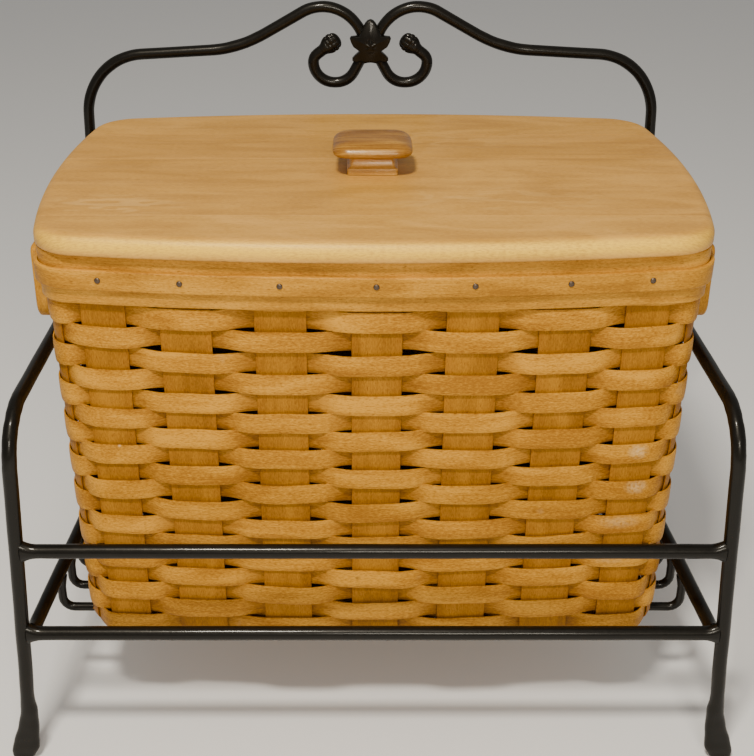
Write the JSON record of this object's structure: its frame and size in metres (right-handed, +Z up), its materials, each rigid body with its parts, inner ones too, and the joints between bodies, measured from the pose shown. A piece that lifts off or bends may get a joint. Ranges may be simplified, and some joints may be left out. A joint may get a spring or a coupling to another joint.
{
  "type": "newspaper basket",
  "caption": "Rectangular woven splint basket with a tacked bentwood rim, flat wooden lid with knob and hanging end grips, standing in a wrought-iron floor cradle with a scrolled back.",
  "frame": {"origin": "on the floor, under the middle of the stand", "axes": "+X to the right along the long side, -Y to the front, +Z up"},
  "size_m": [0.4918, 0.3468, 0.4367],
  "materials": {
    "black_iron": "satin black paint over hammered bar",
    "woven_maple": "honey-stained splints, satin",
    "band_maple": "honey-stained bent strips, satin",
    "lid_maple": "lighter maple boards, satin lacquer",
    "knob_maple": "orange-brown, glossy lacquer",
    "dull_steel": "darkened"
  },
  "bodies": {
    "stand": {"front_leg_left": "black_iron", "front_leg_right": "black_iron", "back_post_left": "black_iron", "back_post_right": "black_iron", "scroll_bud_left": "black_iron", "scroll_bud_right": "black_iron", "leaf_ornament": "black_iron", "upper_front_rail": "black_iron", "lower_front_rail": "black_iron", "lower_back_rail": "black_iron", "side_rail_left": "black_iron", "side_rail_right": "black_iron", "cradle_bar_1": "black_iron", "cradle_bar_2": "black_iron", "cradle_bar_3": "black_iron", "cradle_bar_4": "black_iron", "cradle_bar_5": "black_iron", "cradle_bar_6": "black_iron", "cradle_bar_7": "black_iron", "cradle_bar_8": "black_iron", "cradle_bar_9": "black_iron"},
    "basket": {"woven_wall": "woven_maple", "woven_floor": "woven_maple", "rim_outer_band": "band_maple", "rim_tacked_band": "band_maple", "rim_inner_band": "band_maple", "rim_tack_front_1": "dull_steel", "rim_tack_front_2": "dull_steel", "rim_tack_front_3": "dull_steel", "rim_tack_front_4": "dull_steel", "rim_tack_front_5": "dull_steel", "rim_tack_front_6": "dull_steel", "rim_tack_front_7": "dull_steel", "rim_tack_back_1": "dull_steel", "rim_tack_back_2": "dull_steel", "rim_tack_back_3": "dull_steel", "rim_tack_back_4": "dull_steel", "rim_tack_back_5": "dull_steel", "rim_tack_back_6": "dull_steel", "rim_tack_back_7": "dull_steel", "grip_block_left": "band_maple", "grip_block_right": "band_maple", "grip_pin_left": "dull_steel", "grip_pin_right": "dull_steel"},
    "lid": {"lid_board_1": "lid_maple", "lid_board_2": "lid_maple", "lid_board_3": "lid_maple", "lid_board_4": "lid_maple", "lid_batten_left": "lid_maple", "lid_batten_right": "lid_maple", "knob": "knob_maple", "knob_screw": "dull_steel"},
    "left_grip": {"grip_left": "band_maple"},
    "right_grip": {"grip_right": "band_maple"}
  },
  "joints": [
    {"name": "basket_lift", "type": "slide", "parent": "stand", "child": "basket", "axis": [0, 0, 1], "range_m": [0, 0.3]},
    {"name": "lid_lift", "type": "slide", "parent": "basket", "child": "lid", "axis": [0, 0, 1], "range_m": [0, 0.12]},
    {"name": "left_grip_swing", "type": "hinge", "parent": "basket", "child": "left_grip", "pos_m": [-0.21528, -0.0075, 0.3204], "axis": [0, 1, 0], "range_deg": [0, 150]},
    {"name": "right_grip_swing", "type": "hinge", "parent": "basket", "child": "right_grip", "pos_m": [0.21528, -0.0075, 0.3204], "axis": [0, -1, 0], "range_deg": [0, 150]}
  ]
}
